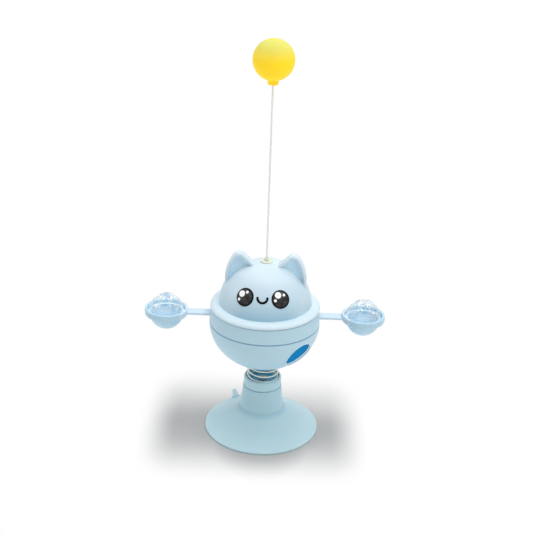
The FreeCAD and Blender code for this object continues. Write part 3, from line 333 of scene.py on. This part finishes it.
# Painted shade in the crease where the neck begins.
pvc_crease_shade = pvc.fade(pvc.away(pvc.along("Z"), CREASE_HEIGHT), 0.0, CREASE_HALF, 1, 0)
pvc_colour = pvc.blend(pvc_crease_shade * CREASE_SHADE_TINT, pvc_colour, paint(150, 190, 206))
# Painted light: the thin lip paler.
pvc_thin_light = pvc.fade(pvc.reach(), *LIP_THIN)
pvc_colour = pvc.blend(pvc_thin_light * LIP_LIGHT_TINT, pvc_colour, paint(186, 215, 223))
# Painted light: the release tab paler.
pvc_tab_light = pvc.fade(pvc.reach(TAB_MIDDLE), *TAB_REACH, 1, 0) * pvc.fade(pvc.along("Z"), *TAB_RISE)
pvc.feed("Base Color", pvc.blend(pvc_tab_light, pvc_colour, paint(216, 238, 246)))
pvc.roughen(BLOTCH_SIZE, *BLOTCH_ROUGH, 3)
pvc.relief(pvc.noise(PVC_GRAIN, 3), PVC_RELIEF)
dress(pvc, "suction_cup")


# Neck collar. A rigid ABS collar pressed into the cup's neck, injection moulded and left satin,
# with the faint clouding and the fine orange peel of a moulded face. Its seam with the neck holds
# a painted shade.

COLLAR_FOOT = 0.0338
COLLAR_SEAM = 0.0011
SEAM_CORE = 0.3
CLOUD_SIZE = 0.03
SATIN_SIZE = 0.004
SATIN_ROUGH = (0.32, 0.44)
PEEL_SIZE = 0.0007
PEEL_DEPTH = 0.000006
SATIN_GLOSS = 0.25


def moulded(name, dull, bright, gloss=SATIN_GLOSS, glow=0.0):
    """Satin moulded plastic between two shades of one colour."""
    finish = Finish(name, Specular_IOR_Level=gloss, Emission_Strength=glow)
    finish.colour = finish.blend(finish.noise(CLOUD_SIZE, 3), dull, bright)
    finish.feed("Base Color", finish.colour)
    finish.roughen(SATIN_SIZE, *SATIN_ROUGH, 3)
    finish.relief(finish.noise(PEEL_SIZE), PEEL_DEPTH)
    return finish


def shade_seam(finish, height, half, shade):
    """Paints shade in a band round the upright axis, where a joint between two mouldings is dark in
    its depth.
    """
    off = finish.away(finish.along("Z"), height)
    near = finish.fade(off, half * SEAM_CORE, half, 1, 0)
    finish.colour = finish.blend(near, finish.colour, shade)
    finish.feed("Base Color", finish.colour)


collar = moulded("collar_plastic", paint(180, 213, 223), paint(186, 218, 227))
shade_seam(collar, COLLAR_FOOT, COLLAR_SEAM, paint(136, 180, 194))
dress(collar, "neck_collar")


# Spring plug and its screw. A dished disc in darker plastic that holds the lowest coil down, and
# the dull steel screw through it.

DULL_CLOUD = 0.0012
DULL_GRAIN = 0.0004
DULL_ROUGH = (0.3, 0.5)

plug = moulded("plug_plastic", paint(116, 186, 210), paint(124, 194, 218))
dress(plug, "spring_plug")

dark_steel = Finish("screw_steel", Metallic=1.0)
dark_steel.feed("Base Color", dark_steel.blend(dark_steel.noise(DULL_CLOUD), grey(0.3), grey(0.45)))
dark_steel.roughen(DULL_GRAIN, *DULL_ROUGH)
dress(dark_steel, "plug_screw")


# Coil spring. Round spring wire wound cold into an open coil with closed ends, drawn bright. It is
# made in two halves that meet at mid height.

COIL_RADIUS = 0.0105
COIL_START = math.radians(148)
COIL_FOOT = 0.0370
COIL_RISE = 0.0172
COIL_TURNS = 5.75
HALF_TURNS = COIL_TURNS / 2
CLOSED_TURNS = 0.9
EASE_TURNS = 0.4
CLOSED_PITCH = 0.00145
OPEN_PITCH = 0.0039465
WIRE_RADIUS = 0.0005
WIRE_SIDES = 14
TURN_STEPS = 64
DRAWN_CLOUD = 0.002
DRAWN_GRAIN = 0.0006
DRAWN_ROUGH = (0.2, 0.36)
SMOOTH_ANGLE = math.radians(40)


def rise_from_end(turns):
    """Height over the coil's end after that many turns from it."""
    eased = min(max(turns - CLOSED_TURNS, 0), EASE_TURNS)
    opened = max(turns - CLOSED_TURNS - EASE_TURNS, 0)
    spread = OPEN_PITCH - CLOSED_PITCH
    return CLOSED_PITCH * turns + spread * (eased ** 2 / (2 * EASE_TURNS) + opened)


def coil_half(name, first_turn, height):
    """Half of the coil: a ring of wire is spun round the axis, and each copy put at its height."""
    angle = COIL_START - 2 * math.pi * first_turn
    select_nothing()
    bpy.ops.mesh.primitive_circle_add(
        vertices=WIRE_SIDES,
        radius=WIRE_RADIUS,
        location=(COIL_RADIUS * math.cos(angle), COIL_RADIUS * math.sin(angle), 0),
        rotation=(math.pi / 2, 0, angle),
    )
    wire = bpy.context.object
    wire.name = name
    bpy.ops.object.transform_apply(location=True, rotation=True, scale=True)
    steps = round(HALF_TURNS * TURN_STEPS)
    spin = wire.modifiers.new("spin", "SCREW")
    spin.angle = -2 * math.pi * HALF_TURNS
    spin.steps = spin.render_steps = steps
    bpy.ops.object.modifier_apply(modifier=spin.name)
    for index, point in enumerate(wire.data.vertices):
        point.co.z += height(index // WIRE_SIDES / steps * HALF_TURNS)
    bpy.ops.object.mode_set(mode="EDIT")
    bpy.ops.mesh.select_all(action="SELECT")
    bpy.ops.mesh.region_to_loop()
    bpy.ops.mesh.edge_face_add()
    bpy.ops.mesh.select_all(action="SELECT")
    bpy.ops.mesh.normals_make_consistent(inside=False)
    bpy.ops.object.mode_set(mode="OBJECT")
    bpy.ops.object.shade_smooth_by_angle(angle=SMOOTH_ANGLE)
    return wire


coil_top = COIL_FOOT + COIL_RISE
lower_coil = coil_half("spring_lower", 0, lambda turns: COIL_FOOT + rise_from_end(turns))
upper_coil = coil_half(
    "spring_upper", HALF_TURNS, lambda turns: coil_top - rise_from_end(HALF_TURNS - turns)
)

bright_steel = Finish("spring_steel", Metallic=0.55)
drawn = bright_steel.noise(DRAWN_CLOUD, 3)
drawn = bright_steel.blend(drawn, paint(222, 222, 210), paint(248, 248, 240))
bright_steel.feed("Base Color", drawn)
bright_steel.roughen(DRAWN_GRAIN, *DRAWN_ROUGH)
for half in (lower_coil, upper_coil):
    coat(half, bright_steel)
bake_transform(lower_coil)
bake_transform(upper_coil)
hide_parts("base_spring")


# Spring cap and its screws. The same dark plastic as the plug, a disc that clamps the upper coil
# against the bowl, held from below by three small dull screws.

dress(plug, "spring_cap")
dress(dark_steel, "cap_screws")


# Treat bowl. Half an egg in the same satin ABS as the collar, with a round treat port that slopes
# down at the front right. The wall inside the port is painted pale and made to glow a little, as
# painted light, and a thin rounded bead runs round the port's edge, painted paler than the bowl as
# a painted highlight. Painted shade darkens its joint with the ring.

BOWL_RIM = 0.0837
BOWL_SEAM = 0.0007
PORT_MIDDLE = Vector((0.024332, -0.024332, 0.0697))
PORT_WAY = Vector((0.62233, -0.62233, -0.47479))
PORT_SINK = 0.0012
PORT_DEPTH = (-0.008, -0.007)
PORT_PAINTED_GLOW = 0.3
BEAD_RADIUS = 0.01068
WALL_FROM = 0.01063
BEAD_HALF = 0.00042
BEAD_POINTS = 96
BEAD_ROUNDING = 3

port_turn = PORT_WAY.to_track_quat("Z", "Y").to_euler()
seam_shade = paint(150, 192, 214)
bowl = moulded("bowl_plastic", paint(182, 213, 228), paint(188, 218, 232), glow=PORT_PAINTED_GLOW)
# Painted shade along the joint with the ring.
shade_seam(bowl, BOWL_RIM, BOWL_SEAM, seam_shade)
port_place = bowl.place_from(PORT_MIDDLE, port_turn)
# Painted light: the wall inside the port, pale and glowing.
port_wall_light = bowl.fade(bowl.reach(place=port_place), WALL_FROM, BEAD_RADIUS, 1, 0)
port_wall_light = port_wall_light * bowl.fade(bowl.along("Z", port_place), *PORT_DEPTH)
bowl.feed("Base Color", bowl.blend(port_wall_light, bowl.colour, paint(240, 250, 255)))
bowl.feed("Emission Color", bowl.blend(port_wall_light, grey(0.0), paint(205, 232, 245)))
dress(bowl, "treat_bowl")

select_nothing()
bpy.ops.mesh.primitive_circle_add(
    vertices=BEAD_POINTS,
    radius=BEAD_RADIUS,
    location=PORT_MIDDLE - PORT_WAY * PORT_SINK,
    rotation=port_turn,
)
bead = bpy.context.object
bead.name = "port_bead"
bpy.ops.object.transform_apply(location=True, rotation=True, scale=True)
laid = bead.modifiers.new("laid on the bowl", "SHRINKWRAP")
laid.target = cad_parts["treat_bowl"]
bpy.ops.object.modifier_apply(modifier=laid.name)
bpy.ops.object.convert(target="CURVE")
bead.data.bevel_depth = BEAD_HALF
bead.data.bevel_resolution = BEAD_ROUNDING
bpy.ops.object.convert(target="MESH")
bpy.ops.object.shade_smooth()
# The bead is painted paler than the bowl, as a painted highlight along the port's edge.
coat(bead, moulded("bead_plastic", paint(198, 225, 237), paint(204, 229, 240)))
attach(bead, "bowl")


# Treat shutter. A deep blue inner shell, loose in the bowl, that shows through the treat port and
# is turned by hand to open or close it.

shutter = moulded("shutter_plastic", paint(24, 130, 190), paint(30, 138, 198), gloss=0.0)
dress(shutter, "treat_shutter")


# Bearing neck. The ring in the bowl's mouth that the turntable turns on. Only its edge shows, deep
# in the joint between bowl and ring, and it is painted darker than the bowl, as painted shade in
# that joint.

neck = moulded("neck_plastic", paint(130, 180, 208), paint(138, 186, 213))
dress(neck, "bearing_neck")


# Turntable ring. A plain tapered band of ABS between bowl and head, whose lower edge is rounded
# where it runs on the bowl.

RING_FOOT = 0.08395
RING_SEAM = 0.0006

ring = moulded("ring_plastic", paint(181, 212, 227), paint(187, 217, 231))
# Painted shade along the joint with the bowl.
shade_seam(ring, RING_FOOT, RING_SEAM, seam_shade)
dress(ring, "turntable_ring")


# Arms and cups. Flat straps in the paler ABS of the head, darker and bluer at the round holder at
# their end as painted shade, and a small round bowl pressed into each holder.

HOLDER_SHADE_FROM = 0.057
HOLDER_SHADE_FULL = 0.059

arm = moulded("arm_plastic", paint(198, 218, 232), paint(203, 222, 235))
arm_across = arm.along("X")
# Painted shade: the holder darker and bluer than the strap.
holder_shade = arm.fade(arm_across * arm_across, HOLDER_SHADE_FROM ** 2, HOLDER_SHADE_FULL ** 2)
arm.feed("Base Color", arm.blend(holder_shade, arm.colour, paint(181, 212, 230)))
dress(arm, "left_arm", "right_arm")
cup = moulded("cup_plastic", paint(187, 219, 238), paint(192, 223, 241))
dress(cup, "left_cup", "right_cup")


# Clear domes. Thin polystyrene half balls with moulded flutes, which plug into the cups. What shows
# is their gloss, the wall that looks whitish where it is seen edge on, and faint blue marks on top.

DOME_FLUTES = 9
FLUTE_DEPTH = 0.0008
GLOSS_CLOUD = 0.02
GLOSS_BLOTCH = 0.003
GLOSS_ROUGH = (0.05, 0.1)
GLOSS_LEAST = 0.1
GLOSS_EDGE = 0.4
WALL_EDGE = (0.55, 0.95)
WALL_SHARE = (0.1, 0.6)
MARK_SIZE = 0.0045
MARK_SPAN = (0.5, 0.6)
MARK_FOOT = 0.098
MARK_SHARE = 0.3

clear = Finish("clear_plastic", Metallic=1.0)
clear.feed("Base Color", clear.blend(clear.noise(GLOSS_CLOUD), grey(0.92), grey(0.98)))
clear.roughen(GLOSS_BLOTCH, *GLOSS_ROUGH)
dome_low, dome_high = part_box("right_dome")
dome_middle = [(low + high) / 2 for low, high in zip(dome_low, dome_high)]
dome_across = clear.away(clear.along("X"), 0.0) - dome_middle[0]
dome_deep = clear.along("Y") - dome_middle[1]
dome_turn = clear.maths("ARCTAN2", dome_deep, dome_across)
clear.relief(clear.maths("SINE", dome_turn * DOME_FLUTES) * 0.5 + 0.5, FLUTE_DEPTH)
see_through = clear.node("ShaderNodeBsdfTransparent", None, {0: (0.972, 0.984, 0.992, 1)})
edge_on = clear.node("ShaderNodeLayerWeight", None, {"Blend": 0.5}, "Facing")
gloss = clear.mix(edge_on ** 3 * GLOSS_EDGE + GLOSS_LEAST, see_through, clear.surface)
marks = clear.fade(clear.noise(MARK_SIZE, 1), *MARK_SPAN)
marks = marks * clear.fade(clear.along("Z"), MARK_FOOT, dome_high[2])
walls = []
for colour in (paint(236, 236, 232), paint(150, 186, 226)):
    front = clear.node("ShaderNodeBsdfDiffuse", None, {0: colour})
    through = clear.node("ShaderNodeBsdfTranslucent", None, {0: colour})
    walls.append(clear.mix(0.5, front, through))
wall_share = clear.fade(edge_on, *WALL_EDGE, *WALL_SHARE) + marks * MARK_SHARE
clear.show(clear.mix(wall_share, gloss, clear.mix(marks, *walls)))
dress(clear, "left_dome", "right_dome")
for dome in ("left_dome", "right_dome"):
    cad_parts[dome].visible_shadow = False


# Head. One hollow ABS moulding, paler than the bowl, with both ears and a rounded ledge round its
# foot. Painted shade darkens the foot of the face at the front, painted light makes the crown, the
# ledge and the ears' hollows paler, and the ears' thin edges are rounded off.

FACE_RISE = (0.097, 0.118)
FACE_MIDDLE = 0.012
FACE_SIDE = 0.026
FACE_SIDE_SHADE_TINT = 0.2
FACE_TURN = math.radians(-4.0)
LEDGE_REACH = (0.0318, 0.0324)
CROWN_RISE = (0.117, 0.124)
CROWN_LIGHT_TINT = 0.5
EAR_DEPTH = (-0.0050, -0.0038)
EAR_FACING = (-0.85, -0.3)
EAR_ROUND = 0.0015
ROUND_SAMPLES = 8

head = moulded("head_plastic", paint(196, 218, 230), paint(201, 222, 234))
ear_edge = head.fade(head.along("Z"), *CROWN_RISE, 0.0, EAR_ROUND)
ear_edge = head.node("ShaderNodeBevel", {"samples": ROUND_SAMPLES}, {"Radius": ear_edge})
head.relief(head.noise(PEEL_SIZE), PEEL_DEPTH, ear_edge)
head_across = head.along("X")
# Painted shade at the foot of the face, strongest at the front.
face_foot_shade = head.fade(head_across * head_across, FACE_MIDDLE ** 2, FACE_SIDE ** 2, 1, FACE_SIDE_SHADE_TINT)
face_foot_shade = face_foot_shade * head.fade(head.along("Z"), *FACE_RISE, 1, 0)
head_colour = head.blend(face_foot_shade, head.colour, paint(163, 200, 219))
# Painted light: the crown paler.
crown_light = head.fade(head.along("Z"), *CROWN_RISE)
head_colour = head.blend(crown_light * CROWN_LIGHT_TINT, head_colour, paint(222, 238, 246))
# Painted light: the ledge paler.
ledge_light = head.fade(head.reach(), *LEDGE_REACH)
head_colour = head.blend(ledge_light, head_colour, paint(209, 228, 238))
# Painted light: the ears' hollows paler and bluer.
ear_facing = head.along("Y", head.node("ShaderNodeNewGeometry", output="Normal"))
ear_place = head.place_from(turn=(0, 0, FACE_TURN))
ear_scoop_light = head.fade(head.along("Y", ear_place), *EAR_DEPTH)
ear_scoop_light = ear_scoop_light * head.fade(ear_facing, *EAR_FACING, 1, 0)
head.feed("Base Color", head.blend(ear_scoop_light, head_colour, paint(201, 233, 250)))
dress(head, "head_shell")


# Eyes. Glossy black discs let into the face, each with a print under its gloss: a mottled charcoal
# middle that is paler towards its top, a black outline and three white lights.

HEAD_MIDDLE = Vector((0, 0, 0.0974))
HEAD_RADIUS = 0.0316
HEAD_HEIGHT = 0.0310
EYE_BEARING = 25.5
EYE_RISE = math.radians(28.5)
EYE_OUTLINE = (0.00465, 0.00545)
EYE_MOTTLE = 0.0026
EYE_MOTTLE_SPAN = (0.35, 0.7)
EYE_GLOW = (0.001, 0.0055)
EYE_GLOW_TINT = 0.5
EYE_SOFT = 0.0003
LEFT_LIGHTS = ((-2.65, 1.75, 2.15), (0.8, 3.6, 0.95), (-3.75, -2.3, 0.95))
RIGHT_LIGHTS = ((-1.4, 2.9, 2.15), (2.65, 2.6, 0.9), (-3.8, -0.45, 0.95))


def face_way(turn, rise):
    """The way from the head's middle out to a spot on the face."""
    across = math.cos(rise)
    return Vector((math.sin(turn) * across, -math.cos(turn) * across, math.sin(rise)))


def eye(node, bearing, lights):
    """Finish of one eye; each light is its place to the right and up, and its radius, in mm."""
    turn = math.radians(bearing) + FACE_TURN
    flat, high = math.cos(EYE_RISE) / HEAD_RADIUS, math.sin(EYE_RISE) / HEAD_HEIGHT
    spot = HEAD_MIDDLE + face_way(turn, EYE_RISE) / math.hypot(flat, high)
    ink = Finish(node + "_print", Roughness=0.3, Specular_IOR_Level=0.12)
    face = ink.place_from(spot, (math.pi / 2 - EYE_RISE, 0, turn))
    mottle = ink.fade(ink.noise(EYE_MOTTLE, 3), *EYE_MOTTLE_SPAN)
    colour = ink.blend(mottle, paint(40, 39, 42), paint(70, 69, 70))
    glow = ink.fade(ink.along("Y", face), *EYE_GLOW) * EYE_GLOW_TINT
    colour = ink.blend(glow, colour, paint(104, 102, 102))
    outline = ink.fade(ink.reach(place=face), *EYE_OUTLINE)
    colour = ink.blend(outline, colour, grey(0.004))
    for light in lights:
        right, up, radius = (part / 1000 for part in light)
        off = ink.reach((right, up), face)
        white = ink.blend(ink.fade(off, 0.0, radius / 2, 1, 0), grey(0.97), paint(228, 230, 238))
        inside = ink.fade(off, radius - EYE_SOFT, radius + EYE_SOFT, 1, 0)
        colour = ink.blend(inside, colour, white)
    ink.feed("Base Color", colour)
    dress(ink, node)


eye("left_eye", -EYE_BEARING, LEFT_LIGHTS)
eye("right_eye", EYE_BEARING, RIGHT_LIGHTS)


# Mouth. A black smile with round ends, printed thickly over its recess in the face, so that it
# stands a hair proud.

SMILE_MERGE = 0.00001
SMILE_SPREAD = 0.00022
SMILE_SINK = 0.00016
SMILE_RISE = math.radians(22)
SMILE_MOTTLE = 0.002

select_nothing()
mouth = bpy.data.objects.new("smile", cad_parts["mouth"].data.copy())
bpy.context.scene.collection.objects.link(mouth)
bpy.context.view_layer.objects.active = mouth
mouth.select_set(True)
bpy.ops.object.mode_set(mode="EDIT")
bpy.ops.mesh.select_all(action="SELECT")
bpy.ops.mesh.remove_doubles(threshold=SMILE_MERGE)
bpy.ops.transform.shrink_fatten(value=SMILE_SPREAD)
bpy.ops.transform.translate(value=-face_way(FACE_TURN, SMILE_RISE) * SMILE_SINK)
bpy.ops.object.mode_set(mode="OBJECT")
bpy.ops.object.shade_smooth_by_angle(angle=SMOOTH_ANGLE)
smile_ink = Finish("mouth_print", Roughness=0.35, Specular_IOR_Level=0.08)
smile_mottle = smile_ink.noise(SMILE_MOTTLE)
smile_ink.feed("Base Color", smile_ink.blend(smile_mottle, grey(0.002), grey(0.005)))
coat(mouth, smile_ink)
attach(mouth, "head")
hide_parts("mouth")


# Grommet. Soft milky silicone, a button in the crown with a ball-shaped middle that the rod passes
# through. The cone that grips the rod is cast in the same silicone.

MILK_CLOUD = 0.003
SILICONE_GRAIN = 0.0008
SILICONE_RELIEF = 0.00001

silicone = Finish("grommet_rubber", Roughness=0.45, Specular_IOR_Level=0.3)
milk = silicone.blend(silicone.noise(MILK_CLOUD), paint(224, 231, 212), paint(232, 238, 222))
silicone.feed("Base Color", milk)
silicone.relief(silicone.noise(SILICONE_GRAIN), SILICONE_RELIEF)
dress(silicone, "wire_grommet", "grommet_insert", "wire_ferrule")


# Rod. Thin spring wire in a whitish sleeve, with a steel bead crimped on its foot as a stop.

SLEEVE_CLOUD = 0.01

sleeve = Finish("rod_wire", Roughness=0.4)
whitish = sleeve.blend(sleeve.noise(SLEEVE_CLOUD), paint(236, 237, 228), paint(243, 243, 236))
sleeve.feed("Base Color", whitish)
dress(sleeve, "teaser_rod")
dress(dark_steel, "wire_stop")


# Ball. A hollow ball in soft yellow vinyl with a painted glow below its top, and paler on top with
# a painted reflection of the lights over it, on a short sleeve that grips the rod's end.

VINYL_CLOUD = 0.01
PALE_TOP_RISE = (0.264, 0.277)

vinyl = Finish("ball_plastic", Roughness=0.5, Specular_IOR_Level=0.2, Emission_Strength=0.2)
vinyl_cloud = vinyl.blend(vinyl.noise(VINYL_CLOUD), paint(255, 213, 34), paint(255, 218, 44))
# Painted reflection: the top paler.
pale_top_reflection = vinyl.fade(vinyl.along("Z"), *PALE_TOP_RISE)
vinyl.feed("Base Color", vinyl.blend(pale_top_reflection, vinyl_cloud, paint(217, 213, 100)))
# Painted glow everywhere but the top.
vinyl.feed("Emission Color", vinyl.blend(pale_top_reflection, paint(255, 214, 10), grey(0.0)))
dress(vinyl, "ball_sleeve", "teaser_ball")
